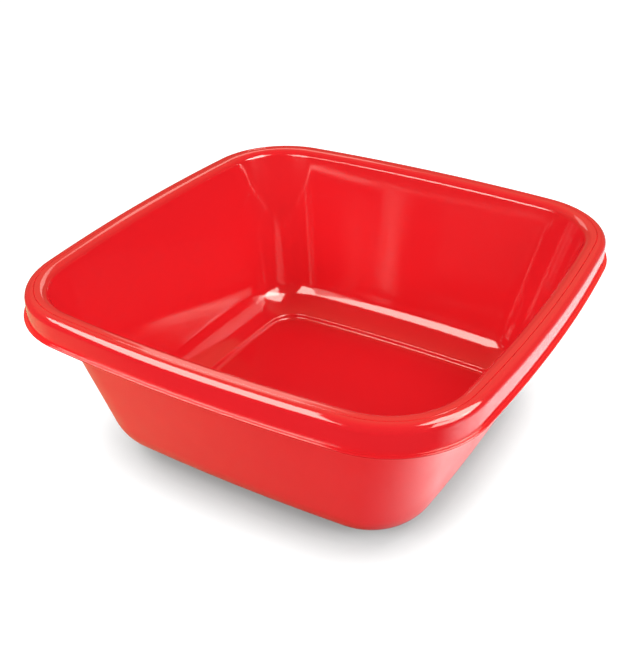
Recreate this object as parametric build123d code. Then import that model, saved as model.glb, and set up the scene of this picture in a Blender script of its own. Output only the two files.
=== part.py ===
from build123d import *
import math
import os

# Washing up bowl, moulded in one piece. All lengths are in millimetres.
# The bowl is square in plan with softly bowed sides, and is the same on all four sides.
# The origin is the middle of the foot, on the surface that the bowl stands on, with +Z up.

# Outline of the rim, along the edge of its turned-out lip
overall_width = 320.0
overall_side_radius = 1150.0
overall_corner_radius = 63.5

# Heights above the surface that the bowl stands on
overall_height = 127.0
foot_rise = 2.0

# Thickness of the moulding, square to its surface
wall = 1.8

# Section of the rim, from its outer edge inwards
lip_reach = 2.1
lip_thickness = 1.2
lip_edge_radius = 0.5
lip_root_radius = 0.8
skirt_height = 16.6
skirt_flare = 0.2
roll_radius = 4.9
roll_flat = 1.3
groove_width = 0.9
groove_depth = 0.4
mouth_flat = 7.1
mouth_radius = 5.9

# Lean of the walls from upright, in degrees
wall_slope = 14.7

# Outside of the walls, where their slope would meet the plane of the floor
base_side_radius = 1434.0
base_corner_radius = 42.0
base_bend_radius = 34.3

# Sunken panel in the middle of the floor, whose steep edge is sloped in degrees from level
panel_margin = 16.7
panel_corner_radius = 21.5
panel_edge_slope = 68.0
panel_brow_radius = 2.0
panel_root_radius = 3.0

# A rounding takes at most this share of the face or corner that it rounds
largest_round_share = 0.45
largest_bend_share = 0.9

# Every cut runs past the solid that it cuts by this much
overrun = 3.0

# An edge that lies this near to an outline counts as following it
closeness = 0.05

# The rim's section is measured inwards from the edge of the lip
roll_inset = lip_reach + skirt_flare
groove_inset = roll_inset + roll_radius + roll_flat
mouth_inset = groove_inset + mouth_flat
lip_height = overall_height - skirt_height

# The walls lean outwards on their way up, so they are thicker when measured level
wall_lean = math.radians(wall_slope)
wall_across = wall / math.cos(wall_lean)
wall_run = (overall_height - foot_rise) * math.tan(wall_lean)
base_half_width = overall_width / 2 - mouth_inset + wall_across - wall_run

# The walls bend into the floor, which is still rising where the panel's edge meets it
base_bend = min(base_bend_radius, largest_bend_share * base_corner_radius)
bend_reach = base_bend * math.tan((math.pi / 2 - wall_lean) / 2)
bend_left = max(bend_reach - panel_margin, 0)
floor_rise = base_bend - math.sqrt(base_bend**2 - bend_left**2)

# The panel's edge leans outwards too
edge_lean = math.radians(90 - panel_edge_slope)
edge_across = wall * math.tan(math.radians(panel_edge_slope) / 2)

# Roundings, kept to the room that they have
lip_edge = min(lip_edge_radius, largest_round_share * lip_thickness)
lip_root = min(lip_root_radius, largest_round_share * lip_reach)
mouth_turn = math.pi / 2 - wall_lean
mouth_round = min(mouth_radius, (mouth_flat - groove_width) / math.tan(mouth_turn / 2))


def bowed_square(half_width, side_radius, corner_radius, height):
    # Four quarters, each from the middle of one side round a corner to the middle of the next side
    reach = side_radius - half_width
    span = side_radius - corner_radius
    corner_centre = (math.sqrt(2 * span**2 - reach**2) - reach) / 2
    corner_middle = corner_centre + corner_radius * math.sqrt(0.5)
    turn = math.atan2(corner_centre, corner_centre + reach)
    half_x = side_radius * math.cos(turn / 2) - reach
    half_y = side_radius * math.sin(turn / 2)
    end_x = side_radius * math.cos(turn) - reach
    end_y = side_radius * math.sin(turn)
    quarter = [
        ThreePointArc((half_width, 0, height), (half_x, half_y, height), (end_x, end_y, height)),
        ThreePointArc((end_x, end_y, height), (corner_middle, corner_middle, height), (end_y, end_x, height)),
        ThreePointArc((end_y, end_x, height), (half_y, half_x, height), (0, half_width, height)),
    ]
    return Wire([edge.rotate(Axis.Z, 90 * number) for number in range(4) for edge in quarter])


def rim_outline(inset, height):
    return bowed_square(
        overall_width / 2 - inset, overall_side_radius - inset, overall_corner_radius - inset, height
    )


def base_outline(inset, height):
    return bowed_square(
        base_half_width - inset, base_side_radius - inset, base_corner_radius - inset, height
    )


def panel_outline(outset, height):
    inset = panel_margin - outset
    return bowed_square(
        base_half_width - inset, base_side_radius - inset, panel_corner_radius + outset, height
    )


def block(bottom, top):
    # Solid with straight sides between two outlines
    return Solid.make_loft([bottom, top], ruled=True)


def basin_block(skin, top_height):
    # The bowl's walls and rounded floor as a filled solid, a skin's depth inside the outer face
    shift = skin / math.cos(wall_lean)
    bottom = base_outline(shift - skin * math.tan(wall_lean), foot_rise + skin)
    rise = (top_height - overall_height) * math.tan(wall_lean)
    top = rim_outline(mouth_inset - wall_across + shift - rise, top_height)
    return round_bottom(block(bottom, top), base_bend - skin)


def panel_block(outset, bottom_height):
    # The sunken panel as a filled solid with steep edges, tall enough to pass through the floor
    top_height = foot_rise + floor_rise + wall + overrun
    widening = (top_height - bottom_height) * math.tan(edge_lean)
    bottom = panel_outline(outset, bottom_height)
    top = panel_outline(outset + widening, top_height)
    return round_bottom(block(bottom, top), panel_root_radius)


def round_bottom(solid, radius):
    return solid.fillet(radius, solid.edges().group_by(Axis.Z)[0])


def join_rounded(large, small, radius):
    # Two solids as one, with the crease between them rounded
    joined = large + small
    crease = new_edges(large, small, combined=joined)
    return joined.fillet(radius, crease)


def round_along(solid, outline, radius):
    # Rounds the ring of edges that follows this outline
    ring = [edge for edge in solid.edges() if outline.distance_to(edge @ 0.5) < closeness]
    return solid.fillet(radius, ring)


def rim_section():
    # From the mouth outwards: flat top with its groove, rolled shoulder, skirt and lip, and back inside
    half_width = overall_width / 2
    mouth_x = half_width - mouth_inset - overrun
    groove_x = half_width - groove_inset
    roll_x = half_width - roll_inset - roll_radius
    skirt_x = half_width - roll_inset
    lip_x = half_width - lip_reach
    roll_z = overall_height - roll_radius
    under_z = overall_height - wall
    lowest_z = lip_height - lip_thickness
    outer_bend = roll_radius * math.sqrt(0.5)
    inner_bend = (roll_radius - wall) * math.sqrt(0.5)
    outside = [
        Polyline(
            (mouth_x, 0, overall_height),
            (groove_x - groove_width / 2, 0, overall_height),
            (groove_x, 0, overall_height - groove_depth),
            (groove_x + groove_width / 2, 0, overall_height),
            (roll_x, 0, overall_height),
        ),
        ThreePointArc(
            (roll_x, 0, overall_height),
            (roll_x + outer_bend, 0, roll_z + outer_bend),
            (skirt_x, 0, roll_z),
        ),
        Polyline(
            (skirt_x, 0, roll_z),
            (lip_x, 0, lip_height),
            (half_width, 0, lip_height),
            (half_width, 0, lowest_z),
            (lip_x - wall, 0, lowest_z),
        ),
    ]
    inside = [
        Line((lip_x - wall, 0, lowest_z), (skirt_x - wall, 0, roll_z)),
        ThreePointArc(
            (skirt_x - wall, 0, roll_z),
            (roll_x + inner_bend, 0, roll_z + inner_bend),
            (roll_x, 0, under_z),
        ),
        Polyline((roll_x, 0, under_z), (mouth_x, 0, under_z), (mouth_x, 0, overall_height)),
    ]
    return Face(Wire([edge for line in outside + inside for edge in line.edges()]))


def make_rim():
    # The section stands at the middle of one side and follows the outline all the way round
    rim = sweep(rim_section(), path=rim_outline(0, overall_height))
    rim = round_along(rim, rim_outline(lip_reach, lip_height), lip_root)
    rim = round_along(rim, rim_outline(0, lip_height), lip_edge)
    return round_along(rim, rim_outline(0, lip_height - lip_thickness), lip_edge)


def make_bowl():
    outside = join_rounded(basin_block(0, overall_height), panel_block(edge_across, 0), panel_brow_radius)
    hollow = join_rounded(
        basin_block(wall, overall_height + overrun), panel_block(0, wall), panel_brow_radius
    )
    bowl = outside + make_rim() - hollow
    return round_along(bowl, rim_outline(mouth_inset, overall_height), mouth_round)


if __name__ == "__main__":
    os.makedirs("parts", exist_ok=True)
    export_step(make_bowl(), "parts/bowl.step")
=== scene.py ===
import bpy
import bmesh
import math
from mathutils import Matrix, Vector


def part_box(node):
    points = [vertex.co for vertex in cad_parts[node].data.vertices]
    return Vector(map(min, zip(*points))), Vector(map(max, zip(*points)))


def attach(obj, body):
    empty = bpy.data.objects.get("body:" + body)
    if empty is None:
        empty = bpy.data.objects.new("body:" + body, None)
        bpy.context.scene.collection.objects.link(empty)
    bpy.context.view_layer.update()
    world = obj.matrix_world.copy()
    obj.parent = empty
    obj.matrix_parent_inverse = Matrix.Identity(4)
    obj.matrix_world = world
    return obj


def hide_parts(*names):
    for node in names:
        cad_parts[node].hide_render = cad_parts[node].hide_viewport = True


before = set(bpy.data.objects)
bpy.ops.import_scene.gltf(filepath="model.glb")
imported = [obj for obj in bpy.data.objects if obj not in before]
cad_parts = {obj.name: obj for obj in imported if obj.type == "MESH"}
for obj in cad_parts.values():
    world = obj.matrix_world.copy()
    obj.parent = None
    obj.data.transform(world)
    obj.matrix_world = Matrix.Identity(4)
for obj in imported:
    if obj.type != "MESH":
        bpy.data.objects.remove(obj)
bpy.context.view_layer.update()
bowlLow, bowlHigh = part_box("bowl")
print("frame loaded")

# The photograph's viewing angle. In this and the other dictionaries lengths are in metres and angles in
# degrees, and an azimuth is measured from +X
viewpoint = {
    "target": (0.00604, -0.02531, 0.08699),
    "azimuth": -58.749,
    "elevation": 31.761,
    "roll": -0.789,
    "distance": 0.67266,
    "lens": 57.3,  # millimetres
    "sensor": 36,  # the picture's taller side, in millimetres
    "nearest": 0.01,  # nothing closer to the camera is drawn
}


def directionOf(azimuth, elevation):
    level = math.cos(math.radians(elevation))
    return Vector((
        math.cos(math.radians(azimuth)) * level,
        math.sin(math.radians(azimuth)) * level,
        math.sin(math.radians(elevation)),
    ))


def addCamera():
    back = directionOf(viewpoint["azimuth"], viewpoint["elevation"])
    roll = Matrix.Rotation(math.radians(viewpoint["roll"]), 3, "Z")
    turned = back.to_track_quat("Z", "Y").to_matrix() @ roll
    place = Vector(viewpoint["target"]) + back * viewpoint["distance"]
    bpy.ops.object.camera_add(location=place, rotation=turned.to_euler())
    camera = bpy.context.object
    camera.name = "photoCamera"
    camera.data.sensor_width = viewpoint["sensor"]
    camera.data.lens = viewpoint["lens"]
    camera.data.clip_start = viewpoint["nearest"]
    bpy.context.scene.camera = camera


addCamera()
print("camera placed")

# The bowl is one moulding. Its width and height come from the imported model
bowlSize = {
    "rimSideRadius": 1.150,  # bow of each side, along the lip
    "rimCornerRadius": 0.0635,
    "footRise": 0.002,  # underside of the floor round the panel, above the table
    "wall": 0.0018,
    "wallSlope": 14.7,  # lean of the walls from upright
    "baseSideRadius": 1.434,
    "baseCornerRadius": 0.042,
    "baseBend": 0.0343,  # outside radius where walls and floor meet
    "panelMargin": 0.0167,
    "panelCornerRadius": 0.0215,
    "panelEdgeLean": 22.0,
    "panelBrow": 0.002,  # rounding at the top of the panel's edge, and the next at its foot
    "panelRoot": 0.003,
    "boxGap": 0.00001,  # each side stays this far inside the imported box
    "smoothAngle": 30,  # edges that turn more than this stay crisp
}
rimSize = {
    "lipReach": 0.0021,
    "lipThickness": 0.0012,
    "lipEdge": 0.0005,
    "lipRoot": 0.0005,  # rounding between the skirt and the lip
    "skirtHeight": 0.0166,
    "skirtFlare": 0.0002,
    "rollRadius": 0.0049,
    "rollFlat": 0.0013,  # flat between the roll and the groove
    "grooveWidth": 0.0006,
    "grooveDepth": 0.0005,
    "mouthFlat": 0.0071,  # from the groove to where the wall's slope would meet the top
    "mouthRound": 0.0059,
}
# Edges along half a side and round one corner, then rings over each curve of the section
meshSteps = {
    "side": 12,
    "corner": 36,
    "panelRoot": 8,
    "panelEdge": 3,
    "panelBrow": 16,
    "baseBend": 26,
    "mouth": 18,
    "roll": 20,
    "lipRoot": 8,
    "lipEdge": 5,
    "underRoll": 10,
}
# Shares of the way up the wall or down the skirt at which its rings stand
ringShares = {
    "inside": (0.01, 0.1, 0.25, 0.4, 0.55, 0.7, 0.85),
    "outside": (1, 0.995, 0.85, 0.65, 0.45, 0.25, 0.01),
    "skirt": (0.04, 0.35, 0.65, 0.96, 1),
}
# One more ring stands this close to a curve or a groove, to keep the flat beside it flat
ringGaps = {"belowMouth": 0.0006, "besideMouth": 0.0002, "besideGroove": 0.0001, "besideRoll": 0.0002}

topHeight = bowlHigh.z
halfWidth = (bowlHigh.x - bowlLow.x) / 2 - bowlSize["boxGap"]
quarterSteps = meshSteps["side"] * 2 + meshSteps["corner"]
rollInset = rimSize["lipReach"] + rimSize["skirtFlare"]
rollCentre = rollInset + rimSize["rollRadius"]
grooveInset = rollCentre + rimSize["rollFlat"]
mouthInset = grooveInset + rimSize["mouthFlat"]
lipHeight = topHeight - rimSize["skirtHeight"]
wallLean = math.radians(bowlSize["wallSlope"])
edgeLean = math.radians(bowlSize["panelEdgeLean"])
wallAcross = bowlSize["wall"] / math.cos(wallLean)
wallRun = (topHeight - bowlSize["footRise"]) * math.tan(wallLean)
baseWidth = halfWidth - mouthInset + wallAcross - wallRun


def outlineReach(half, sideRadius, cornerRadius):
    # A softly bowed square: how far its side and its corner reach, and how far each half side turns
    reach = sideRadius - half
    span = sideRadius - cornerRadius
    cornerCentre = (math.sqrt(2 * span**2 - reach**2) - reach) / 2
    corner = cornerCentre * math.sqrt(2) + cornerRadius
    return half, corner, math.atan2(cornerCentre, cornerCentre + reach)


rimHalf, rimCorner, rimTurn = outlineReach(
    halfWidth, bowlSize["rimSideRadius"], bowlSize["rimCornerRadius"]
)
baseHalf, baseCorner, baseTurn = outlineReach(
    baseWidth, bowlSize["baseSideRadius"], bowlSize["baseCornerRadius"]
)
panelHalf, panelCorner, panelTurn = outlineReach(
    baseHalf - bowlSize["panelMargin"],
    bowlSize["baseSideRadius"] - bowlSize["panelMargin"],
    bowlSize["panelCornerRadius"],
)


def skinSection(depth, baseReach, panelReach, rimReach):
    # One skin of the bowl cut across, a depth inside the outer face, from its panel up to its mouth
    root = bowlSize["panelRoot"]
    brow = bowlSize["panelBrow"]
    tilt = math.tan(edgeLean)
    floor = bowlSize["footRise"] + depth
    bend = bowlSize["baseBend"] - depth
    bottomReach = baseReach - depth / math.cos(wallLean) + depth * math.tan(wallLean)
    mouthReach = rimReach - mouthInset + (bowlSize["wall"] - depth) / math.cos(wallLean)
    slope = (mouthReach - bottomReach) / (topHeight - floor)
    lean = math.atan(slope)
    turnReach = math.tan((math.pi / 2 - lean) / 2)
    bendReach = bottomReach - bend * turnReach
    bendHeight = floor + bend
    # Panel's edge, which leans outwards on its way up
    edgeFoot = panelReach + (bowlSize["wall"] - depth) * math.tan((math.pi / 2 - edgeLean) / 2)
    edgeReach = edgeFoot - depth * tilt
    # The rounded brow's centre lies a brow's radius from that edge and from the bend
    browLine = edgeReach + brow / math.cos(edgeLean) - bendReach
    square = 1 + tilt**2
    linear = 2 * (browLine * tilt - bendHeight)
    constant = browLine**2 + bendHeight**2 - (bend + brow) ** 2
    browHeight = (-linear - math.sqrt(linear**2 - 4 * square * constant)) / (2 * square)
    return {
        "panelFloor": depth,
        "rootReach": edgeFoot - root * (1 - math.sin(edgeLean)) / math.cos(edgeLean),
        "rootTop": depth + root * (1 - math.sin(edgeLean)),
        "edgeReach": edgeReach,
        "browBottom": browHeight + brow * math.sin(edgeLean),
        "browHeight": browHeight,
        "browReach": bendReach + browLine + browHeight * tilt,
        "browTop": bendHeight + (browHeight - bendHeight) * bend / (bend + brow),
        "bend": bend,
        "bendHeight": bendHeight,
        "bendReach": bendReach,
        "bendTop": bendHeight - bend * math.sin(lean),
        "slope": slope,
        "mouthBottom": topHeight - rimSize["mouthRound"] * (1 - math.sin(lean)),
        "mouthReach": mouthReach,
        "mouthCentre": mouthReach + rimSize["mouthRound"] * turnReach,
    }


def skinSections(depth):
    # The side and the corner are cut apart, because the corners lean more than the sides
    side = skinSection(depth, baseHalf, panelHalf, rimHalf)
    corner = skinSection(depth, baseCorner, panelCorner, rimCorner)
    return side, corner


def arcReach(radius, height):
    # How far an arc reaches at a height from its centre
    return math.sqrt(max(radius**2 - height**2, 0))


def reachAt(section, height):
    if height < section["rootTop"]:
        down = section["panelFloor"] + bowlSize["panelRoot"] - height
        return section["rootReach"] + arcReach(bowlSize["panelRoot"], down)
    if height < section["browBottom"]:
        return section["edgeReach"] + height * math.tan(edgeLean)
    if height < section["browTop"]:
        return section["browReach"] - arcReach(bowlSize["panelBrow"], height - section["browHeight"])
    if height < section["bendTop"]:
        return section["bendReach"] + arcReach(section["bend"], section["bendHeight"] - height)
    if section["panelFloor"] > 0 and height > section["mouthBottom"]:
        up = height - topHeight + rimSize["mouthRound"]
        return section["mouthCentre"] - arcReach(rimSize["mouthRound"], up)
    return section["mouthReach"] - (topHeight - height) * section["slope"]


def ringPoints(half, corner, turn, height):
    # Points on a bowed square, once round from the middle of the right side
    bow = math.tan(turn / 2)
    cornerRadius = (math.sqrt(2) * half / (1 + bow) - corner) / (math.sqrt(2) / (1 + bow) - 1)
    centre = (half - cornerRadius) / (1 + bow)
    sideRadius = cornerRadius + centre / math.sin(turn)
    quarter = []
    for step in range(meshSteps["side"]):
        angle = turn * step / meshSteps["side"]
        quarter.append((half - sideRadius * (1 - math.cos(angle)), sideRadius * math.sin(angle)))
    for step in range(meshSteps["corner"]):
        angle = turn + (math.pi / 2 - 2 * turn) * step / meshSteps["corner"]
        quarter.append((centre + cornerRadius * math.cos(angle), centre + cornerRadius * math.sin(angle)))
    for step in range(meshSteps["side"], 0, -1):
        angle = turn * step / meshSteps["side"]
        quarter.append((sideRadius * math.sin(angle), half - sideRadius * (1 - math.cos(angle))))
    points = [Vector((x, y, height)) for x, y in quarter]
    turns = [Matrix.Rotation(math.pi / 2 * number, 3, "Z") for number in range(4)]
    return [turned @ point for turned in turns for point in points]


def skinRing(sections, height):
    side, corner = sections
    share = (height - bowlSize["footRise"]) / (topHeight - bowlSize["footRise"])
    turn = baseTurn + (rimTurn - baseTurn) * share
    if height < side["browTop"]:
        turn = panelTurn
    return ringPoints(reachAt(side, height), reachAt(corner, height), turn, height)


def rimRing(inset, height):
    return ringPoints(rimHalf - inset, rimCorner - inset, rimTurn, height)


def steps(first, last, count):
    return [first + (last - first) * number / count for number in range(1, count + 1)]


def skinHeights(sections):
    # Heights of the rings up one skin, close together where it curves
    side, corner = sections
    rootAngles = steps(0, math.pi / 2 - edgeLean, meshSteps["panelRoot"])
    heights = [side["panelFloor"] + bowlSize["panelRoot"] * (1 - math.cos(angle)) for angle in rootAngles]
    heights += steps(side["rootTop"], side["browBottom"], meshSteps["panelEdge"])
    heights += steps(side["browBottom"], corner["browTop"], meshSteps["panelBrow"])
    lowest = math.acos((side["bendHeight"] - corner["browTop"]) / side["bend"])
    highest = math.acos((side["bendHeight"] - side["bendTop"]) / side["bend"])
    bendAngles = steps(lowest, highest, meshSteps["baseBend"])
    heights += [side["bendHeight"] - side["bend"] * math.cos(angle) for angle in bendAngles]
    return heights


def rimArc(centreInset, centreHeight, radius, first, last, count):
    angles = [math.radians(angle) for angle in steps(first, last, count)]
    return [(centreInset - radius * math.cos(a), centreHeight + radius * math.sin(a)) for a in angles]


def rimPath():
    # The rim's section from its groove over the roll, down the skirt, round the lip and back up inside
    roll = rimSize["rollRadius"]
    edge = rimSize["lipEdge"]
    root = rimSize["lipRoot"]
    rollHeight = topHeight - roll
    lipBottom = lipHeight - rimSize["lipThickness"]
    halfGroove = rimSize["grooveWidth"] / 2
    path = [
        (grooveInset + halfGroove, topHeight),
        (grooveInset, topHeight - rimSize["grooveDepth"]),
        (grooveInset - halfGroove, topHeight),
        (rollCentre + ringGaps["besideRoll"], topHeight),
        (rollCentre, topHeight),
    ]
    path += rimArc(rollCentre, rollHeight, roll, 90, 0, meshSteps["roll"])
    skirtStart = Vector((rollInset, rollHeight))
    skirtEnd = Vector((rimSize["lipReach"], lipHeight + root))
    path += [tuple(skirtStart.lerp(skirtEnd, share)) for share in ringShares["skirt"]]
    path += rimArc(rimSize["lipReach"] - root, lipHeight + root, -root, 0, 90, meshSteps["lipRoot"])
    path += [(edge, lipHeight)]
    path += rimArc(edge, lipHeight - edge, edge, 90, 0, meshSteps["lipEdge"])
    path += rimArc(edge, lipBottom + edge, edge, 0, -90, meshSteps["lipEdge"])
    path += [(rimSize["lipReach"] + bowlSize["wall"], lipBottom)]
    path += [(rollInset + bowlSize["wall"], rollHeight)]
    path += rimArc(rollCentre, rollHeight, roll - bowlSize["wall"], 0, 90, meshSteps["underRoll"])
    return path


def placeRing(piece, points):
    # Sets the selected ring on an outline, both counted round from the middle of the right side
    slack = 0.005  # radians, so that a vertex a hair below +X still comes first
    mesh = bmesh.from_edit_mesh(piece.data)
    ring = [vert for vert in mesh.verts if vert.select]
    ring.sort(key=lambda vert: (math.atan2(vert.co.y, vert.co.x) + slack) % (2 * math.pi))
    for vert, point in zip(ring, points, strict=True):
        vert.co = point
    bmesh.update_edit_mesh(piece.data)


def pullRing(piece, points):
    # Extrudes the open edge and sets it on its next outline
    bpy.ops.mesh.extrude_region_move()
    placeRing(piece, points)


def closeRing():
    # The flat middle of the panel, as a grid with its corners in the panel's corners
    bpy.ops.mesh.fill_grid(span=quarterSteps)


def selectOpenEdge(piece):
    bpy.ops.mesh.select_all(action="DESELECT")
    bpy.ops.mesh.select_mode(type="EDGE")
    mesh = bmesh.from_edit_mesh(piece.data)
    for edge in mesh.edges:
        if edge.is_boundary:
            edge.select_set(True)
    bmesh.update_edit_mesh(piece.data)


def makeBowl():
    wall = bowlSize["wall"]
    inner = skinSections(wall)
    outer = skinSections(0)
    side = inner[0]
    bpy.ops.object.select_all(action="DESELECT")
    bpy.ops.mesh.primitive_circle_add(
        vertices=4 * quarterSteps, radius=side["rootReach"], location=(0, 0, wall)
    )
    bpy.ops.object.transform_apply(location=True, rotation=True, scale=True)
    piece = bpy.context.object
    piece.name = "bowlMoulding"
    bpy.ops.object.mode_set(mode="EDIT")
    bpy.ops.mesh.select_all(action="SELECT")
    placeRing(piece, skinRing(inner, wall))
    closeRing()
    selectOpenEdge(piece)

    # Up the inside, from the panel to the mouth
    wallBottom = side["bendTop"]
    wallTop = side["mouthBottom"]
    mouth = rimSize["mouthRound"]
    mouthAngles = steps(math.atan(side["slope"]), math.pi / 2, meshSteps["mouth"])
    heights = skinHeights(inner)
    heights += [wallBottom + (wallTop - wallBottom) * share for share in ringShares["inside"]]
    heights += [wallTop - ringGaps["belowMouth"], wallTop]
    heights += [topHeight - mouth + mouth * math.sin(angle) for angle in mouthAngles]
    for height in heights:
        pullRing(piece, skinRing(inner, height))
    print("inside pulled up, rings:", len(heights))

    # Over the rim and back under it
    flatStart = rimHalf - side["mouthCentre"]
    flatEnd = grooveInset + rimSize["grooveWidth"] / 2
    flat = [
        flatStart - ringGaps["besideMouth"],
        (flatStart + flatEnd) / 2,
        flatEnd + ringGaps["besideGroove"],
    ]
    path = [(inset, topHeight) for inset in flat] + rimPath()
    for inset, height in path:
        pullRing(piece, rimRing(inset, height))
    insideFaces = len(bmesh.from_edit_mesh(piece.data).faces)
    print("rim turned over, rings:", len(path))

    # Down the outside to the foot and the underside of the panel
    footHeights = skinHeights(outer)[::-1]
    wallBottom = footHeights[0]
    wallTop = topHeight - wall
    heights = [wallBottom + (wallTop - wallBottom) * share for share in ringShares["outside"]]
    heights += footHeights + [0]
    for height in heights:
        pullRing(piece, skinRing(outer, height))
    closeRing()
    print("outside brought down, rings:", len(heights))

    bpy.ops.mesh.select_all(action="SELECT")
    bpy.ops.mesh.normals_make_consistent(inside=False)
    bpy.ops.mesh.select_all(action="DESELECT")
    bpy.ops.object.mode_set(mode="OBJECT")
    bpy.ops.object.shade_smooth_by_angle(angle=math.radians(bowlSize["smoothAngle"]))
    return piece, insideFaces


bowl, insideFaces = makeBowl()
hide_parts("bowl")
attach(bowl, "root")
print("bowl made, faces:", len(bowl.data.polygons))


def newMaterial(name):
    material = bpy.data.materials.new(name)
    material.use_nodes = True
    nodes = material.node_tree.nodes
    return material, nodes, material.node_tree.links, nodes["Principled BSDF"]


def fillSockets(links, sockets, values):
    # Each value is a plain one or another node's output, and a colour is written without its opacity
    for socket, value in zip(sockets, values, strict=True):
        if isinstance(value, bpy.types.NodeSocket):
            links.new(value, socket)
        elif socket.type == "RGBA":
            socket.default_value = (*value, 1)
        else:
            socket.default_value = value


def noiseNode(nodes, links, coordinates, scale, detail):
    noise = nodes.new("ShaderNodeTexNoise")
    fillSockets(links, (noise.inputs["Vector"], noise.inputs["Scale"]), (coordinates, scale))
    noise.inputs["Detail"].default_value = detail
    return noise.outputs["Fac"]


def bumpNode(nodes, links, height, distance):
    bump = nodes.new("ShaderNodeBump")
    fillSockets(links, (bump.inputs["Height"], bump.inputs["Distance"]), (height, distance))
    return bump


def mathNode(nodes, links, operation, first, second):
    node = nodes.new("ShaderNodeMath")
    node.operation = operation
    fillSockets(links, node.inputs[:2], (first, second))
    return node.outputs["Value"]


def mixNode(nodes, links, kind, factor, first, second):
    node = nodes.new("ShaderNodeMix")
    node.data_type = kind
    sockets = (node.inputs["Factor"], node.inputs["A"], node.inputs["B"])
    fillSockets(links, sockets, (factor, first, second))
    return node.outputs["Result"]


def fadeNode(nodes, links, kind, source, fade):
    # A fade is where it starts and ends, and its value at each
    node = nodes.new("ShaderNodeMapRange")
    node.interpolation_type = kind
    sockets = [node.inputs[name] for name in ("Value", "From Min", "From Max", "To Min", "To Max")]
    fillSockets(links, sockets, (source, *fade))
    return node.outputs["Result"]


def vectorNode(nodes, links, operation, first, second):
    node = nodes.new("ShaderNodeVectorMath")
    node.operation = operation
    other = node.inputs["Scale"] if operation == "SCALE" else node.inputs[1]
    fillSockets(links, (node.inputs[0], other), (first, second))
    return node.outputs["Value"] if operation == "DOT_PRODUCT" else node.outputs["Vector"]


# Plastic: polished in the mould on the inside and over the rim, finely grained outside and under the foot
plastic = {
    "ior": 1.55,
    "cloudScale": 14,  # faint clouding of the pigment, as moulded polypropylene has
    "cloudDetail": 3,
    "patchScale": 35,  # patches of slightly different gloss
    "patchDetail": 2,
    "waveScale": 40,  # slight waviness of the moulding
    "waveDetail": 1,
    "waveHeight": 0.00003,
    "grainDetail": 2,
    "noiseSpread": (0.3, 0.7),  # nearly all of a noise lies between these
}
plasticKinds = {
    "polishedRed": {
        "reds": ((0.80, 0.015, 0.021), (0.82, 0.017, 0.024)),  # least and most pigment in the clouding
        "roughness": (0.06, 0.09),
        "grainScale": 1400,
        "grainHeight": 0.000001,
    },
    "grainedRed": {
        # Lighter than the polished red: partly the scatter of its grain, partly painted light that makes
        # up for the dimmer light on the outside walls
        "reds": ((0.93, 0.019, 0.022), (0.96, 0.021, 0.025)),
        "bounce": (0.30, 0.26, 0.26),  # what it throws on to the floor, pale so that the shadow stays grey
        "roughness": (0.30, 0.37),
        "grainScale": 1100,
        "grainHeight": 0.00004,
    },
}


def redPlastic(name):
    kind = plasticKinds[name]
    material, nodes, links, shader = newMaterial(name)
    coordinates = nodes.new("ShaderNodeTexCoord").outputs["Object"]
    cloud = noiseNode(nodes, links, coordinates, plastic["cloudScale"], plastic["cloudDetail"])
    colour = mixNode(nodes, links, "RGBA", cloud, *kind["reds"])
    if "bounce" in kind:
        rays = nodes.new("ShaderNodeLightPath")
        colour = mixNode(nodes, links, "RGBA", rays.outputs["Is Diffuse Ray"], colour, kind["bounce"])
    links.new(colour, shader.inputs["Base Color"])
    patches = noiseNode(nodes, links, coordinates, plastic["patchScale"], plastic["patchDetail"])
    spread = (*plastic["noiseSpread"], *kind["roughness"])
    links.new(fadeNode(nodes, links, "LINEAR", patches, spread), shader.inputs["Roughness"])
    waves = noiseNode(nodes, links, coordinates, plastic["waveScale"], plastic["waveDetail"])
    wave = bumpNode(nodes, links, waves, plastic["waveHeight"])
    grains = noiseNode(nodes, links, coordinates, kind["grainScale"], plastic["grainDetail"])
    grain = bumpNode(nodes, links, grains, kind["grainHeight"])
    links.new(wave.outputs["Normal"], grain.inputs["Normal"])
    links.new(grain.outputs["Normal"], shader.inputs["Normal"])
    shader.inputs["IOR"].default_value = plastic["ior"]
    return material


def dressBowl():
    bowl.data.materials.append(redPlastic("polishedRed"))
    bowl.data.materials.append(redPlastic("grainedRed"))
    for face in bowl.data.polygons:
        face.material_index = 0 if face.index < insideFaces else 1


dressBowl()
print("materials made")

# Plain pale studio: a white floor, a pale surround and soft boxes of light.
# A fade is four numbers: where it starts and ends, and its value at each
studio = {
    "floorSize": 8,
    "floorDrop": 0.0002,  # the floor lies this far under the foot
    "floorColour": (0.80, 0.80, 0.80),
    "paintedShadowGlow": (0.095, 0.155, 0.0, 0.60),  # painted light added to the floor where it is seen, none of it by the foot, so that a painted soft shadow rings the foot on top of its real shadow
    "farGlow": (0.4, 1.6, 0, 0.14),  # added where the lamps no longer reach
    "ambient": 0.38,  # light from the surround
    "mirroredTint": (1.0, 0.95, 0.52),  # painted warm cast of the floor and surround, seen only in reflections
    "glossTint": (1.0, 1.0, 0.90),  # slighter cast of the soft boxes that the gloss mirrors
    "darkSide": -58.749,  # azimuth of the side on which floor and surround are dark in reflections
    "floorByDarkSide": (0.0, 0.20, 0.80, 0.02),
    "floorByRight": (0.07, 0.15, 0, 2.50),  # painted reflection: brighter than white by the bowl's right side, so that it glows in the bowl's reflections
    "floorRearwards": (-0.17, -0.03, 0, 1),  # share of that brightness on its way to the rear
    "floorBehind": (0.10, 0.30, 1, 0.7),
    "floorAway": (0.26, 0.55, 1, 0.25),  # all of the mirrored floor dims away from the bowl
    "surroundByDarkSide": (-0.95, 0.6, 0.55, 0.10),
    "surroundUpwards": (0.36, 0.54, 0.5, 1),
}
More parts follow.
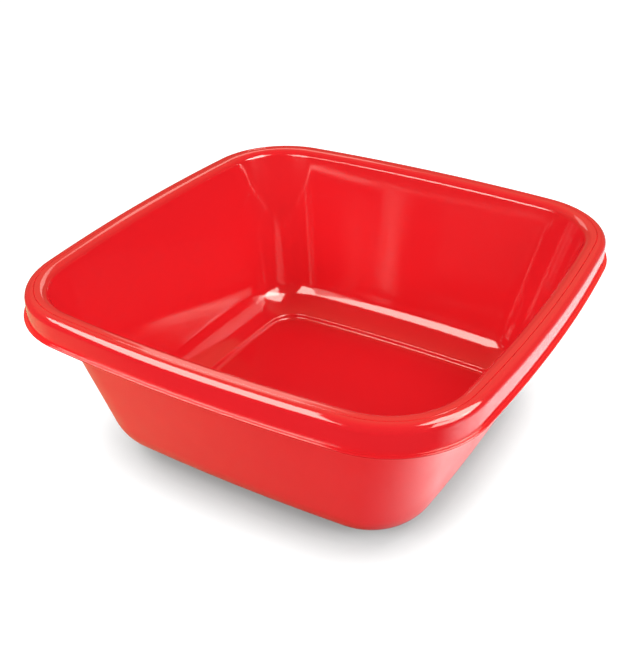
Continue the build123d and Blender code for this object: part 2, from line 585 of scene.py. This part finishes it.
# Soft boxes that light the scene. All face the middle of the foot, from which the distance is measured,
# and brightness stands beside a white of 1
lightBoxes = {
    "frontLeftLight": {
        "azimuth": -110, "elevation": 28, "distance": 1.2, "width": 0.8, "height": 0.4, "brightness": 5.6,
    },
    "backLeftLight": {
        "azimuth": -155, "elevation": 48, "distance": 1.2, "width": 0.8, "height": 0.32, "brightness": 3.4,
    },
    "frontRightLight": {
        "azimuth": -8, "elevation": 28, "distance": 1.2, "width": 0.8, "height": 0.4, "brightness": 4.6,
    },
    "backRightLight": {
        "azimuth": 44, "elevation": 54, "distance": 1.2, "width": 0.8, "height": 0.32, "brightness": 5.5,
    },
}
# Soft boxes that only the gloss mirrors. Swing and tip turn a box away from facing the foot, and roll
# turns it about its own middle
glossBoxes = {
    "leftGloss": {
        "azimuth": -108.3, "elevation": 37.5, "distance": 0.388, "swing": -40.3, "tip": 36.4, "roll": 57.4,
        "width": 0.252, "height": 0.26, "brightness": 10.5,
    },
    "rightGloss": {
        "azimuth": -1.8, "elevation": 28.0, "distance": 1.189, "swing": 11.5, "tip": 36.6, "roll": -43,
        "width": 0.685, "height": 0.58, "brightness": 9.0,
    },
    "nearRightGloss": {
        "azimuth": 9.8, "elevation": 42.9, "distance": 0.56, "swing": -38.4, "tip": 38.3, "roll": -34,
        "width": 0.50, "height": 0.23, "brightness": 10.5,
    },
    "backGloss": {
        "azimuth": 130.8, "elevation": 42.8, "distance": 0.72, "swing": 0, "tip": -42.8, "roll": 0,
        "width": 0.28, "height": 0.29, "brightness": 2.1,
    },
}


def eitherRay(nodes, links, rays, first, second):
    return mathNode(nodes, links, "MAXIMUM", rays.outputs[first], rays.outputs[second])


def studioFade(nodes, links, source, name):
    return fadeNode(nodes, links, "SMOOTHSTEP", source, studio[name])


def fadeAlong(nodes, links, place, direction, name):
    along = vectorNode(nodes, links, "DOT_PRODUCT", place, direction)
    return studioFade(nodes, links, along, name)


def squareReach(nodes, links, place):
    # Distance from the bowl's middle, measured so that a rounded square round it is everywhere as far
    squared = vectorNode(nodes, links, "MULTIPLY", place, place)
    length = nodes.new("ShaderNodeVectorMath")
    length.operation = "LENGTH"
    links.new(squared, length.inputs[0])
    return mathNode(nodes, links, "POWER", length.outputs["Value"], 0.5)


def paintedReflectionFloor(nodes, links, place, away):
    # Painted reflections: the floor's colour as glossy rays see it, dim by the dark side and far away, and
    # brighter than white by the bowl's right side, where it glows in the bowl like a lamp
    sideways = fadeAlong(nodes, links, place, directionOf(studio["darkSide"], 0), "floorByDarkSide")
    right = fadeAlong(nodes, links, place, (1, 0, 0), "floorByRight")
    rearwards = fadeAlong(nodes, links, place, (0, 1, 0), "floorRearwards")
    behind = fadeAlong(nodes, links, place, (0, 1, 0), "floorBehind")
    near = studioFade(nodes, links, away, "floorAway")
    rear = mathNode(nodes, links, "MULTIPLY", rearwards, behind)
    bright = mathNode(nodes, links, "MULTIPLY", right, rear)
    bright = mathNode(nodes, links, "MULTIPLY", bright, near)
    sideways = mathNode(nodes, links, "MULTIPLY", sideways, near)
    tinted = vectorNode(nodes, links, "SCALE", studio["mirroredTint"], sideways)
    return vectorNode(nodes, links, "MAXIMUM", tinted, bright)


def addFloor():
    bpy.ops.object.select_all(action="DESELECT")
    bpy.ops.mesh.primitive_plane_add(size=studio["floorSize"], location=(0, 0, -studio["floorDrop"]))
    floor = bpy.context.object
    floor.name = "studioFloor"
    bpy.ops.object.transform_apply(location=True, rotation=False, scale=False)
    material, nodes, links, shader = newMaterial("paleFloor")
    place = nodes.new("ShaderNodeTexCoord").outputs["Object"]
    rays = nodes.new("ShaderNodeLightPath")
    away = squareReach(nodes, links, place)
    mirrored = paintedReflectionFloor(nodes, links, place, away)
    colour = mixNode(nodes, links, "RGBA", rays.outputs["Is Glossy Ray"], studio["floorColour"], mirrored)
    matt = nodes.new("ShaderNodeBsdfDiffuse")
    links.new(colour, matt.inputs["Color"])
    # Glow painted on the floor where it is seen, fading to none by the foot: a painted soft shadow round
    # the foot, beside the real one
    paintedShadowGlow = studioFade(nodes, links, away, "paintedShadowGlow")
    farGlow = studioFade(nodes, links, away, "farGlow")
    strength = mathNode(nodes, links, "ADD", paintedShadowGlow, farGlow)
    seen = eitherRay(nodes, links, rays, "Is Camera Ray", "Is Transmission Ray")
    glow = nodes.new("ShaderNodeEmission")
    links.new(mathNode(nodes, links, "MULTIPLY", seen, strength), glow.inputs["Strength"])
    both = nodes.new("ShaderNodeAddShader")
    links.new(matt.outputs["BSDF"], both.inputs[0])
    links.new(glow.outputs["Emission"], both.inputs[1])
    nodes.remove(shader)
    links.new(both.outputs["Shader"], nodes["Material Output"].inputs["Surface"])
    material.cycles.emission_sampling = "NONE"
    floor.data.materials.append(material)


def addWorld():
    world = bpy.data.worlds.new("paleSurround")
    bpy.context.scene.world = world
    world.use_nodes = True
    nodes = world.node_tree.nodes
    links = world.node_tree.links
    rays = nodes.new("ShaderNodeLightPath")
    direction = nodes.new("ShaderNodeTexCoord").outputs["Generated"]
    # In reflections the surround is darker on the dark side and low down. Seen directly it is white
    sideways = fadeAlong(nodes, links, direction, directionOf(studio["darkSide"], 0), "surroundByDarkSide")
    upwards = fadeAlong(nodes, links, direction, (0, 0, 1), "surroundUpwards")
    sweep = mathNode(nodes, links, "MULTIPLY", sideways, upwards)
    mirrored = eitherRay(nodes, links, rays, "Is Glossy Ray", "Is Transmission Ray")
    unseen = mixNode(nodes, links, "FLOAT", mirrored, studio["ambient"], sweep)
    strength = mixNode(nodes, links, "FLOAT", rays.outputs["Is Camera Ray"], unseen, 1.0)
    tint = mixNode(nodes, links, "RGBA", mirrored, (1, 1, 1), studio["mirroredTint"])
    links.new(tint, nodes["Background"].inputs["Color"])
    links.new(strength, nodes["Background"].inputs["Strength"])


def facing(azimuth, elevation, roll):
    # Turns a lamp so that its back looks this way, its width level before the roll
    away = directionOf(azimuth, elevation)
    across = Vector((0, 0, 1)).cross(away).normalized()
    turned = Matrix((across, away.cross(across), away)).transposed()
    return (turned @ Matrix.Rotation(math.radians(roll), 3, "Z")).to_euler()


def hangBox(name, box, rotation):
    place = directionOf(box["azimuth"], box["elevation"]) * box["distance"]
    bpy.ops.object.light_add(type="AREA", location=place, rotation=rotation)
    lamp = bpy.context.object
    lamp.name = name
    lamp.data.shape = "RECTANGLE"
    lamp.data.size = box["width"]
    lamp.data.size_y = box["height"]
    lamp.data.energy = box["brightness"] * box["width"] * box["height"] * math.pi
    lamp.visible_camera = False
    return lamp


def addSoftBoxes():
    for name, box in lightBoxes.items():
        lamp = hangBox(name, box, facing(box["azimuth"], box["elevation"], 0))
        lamp.visible_glossy = False
    for name, box in glossBoxes.items():
        turned = facing(box["azimuth"] + box["swing"], box["elevation"] + box["tip"], box["roll"])
        lamp = hangBox(name, box, turned)
        lamp.visible_diffuse = False
        lamp.data.color = studio["glossTint"]


addFloor()
addWorld()
addSoftBoxes()
bpy.context.scene.view_settings.view_transform = "Standard"
print("studio lit")
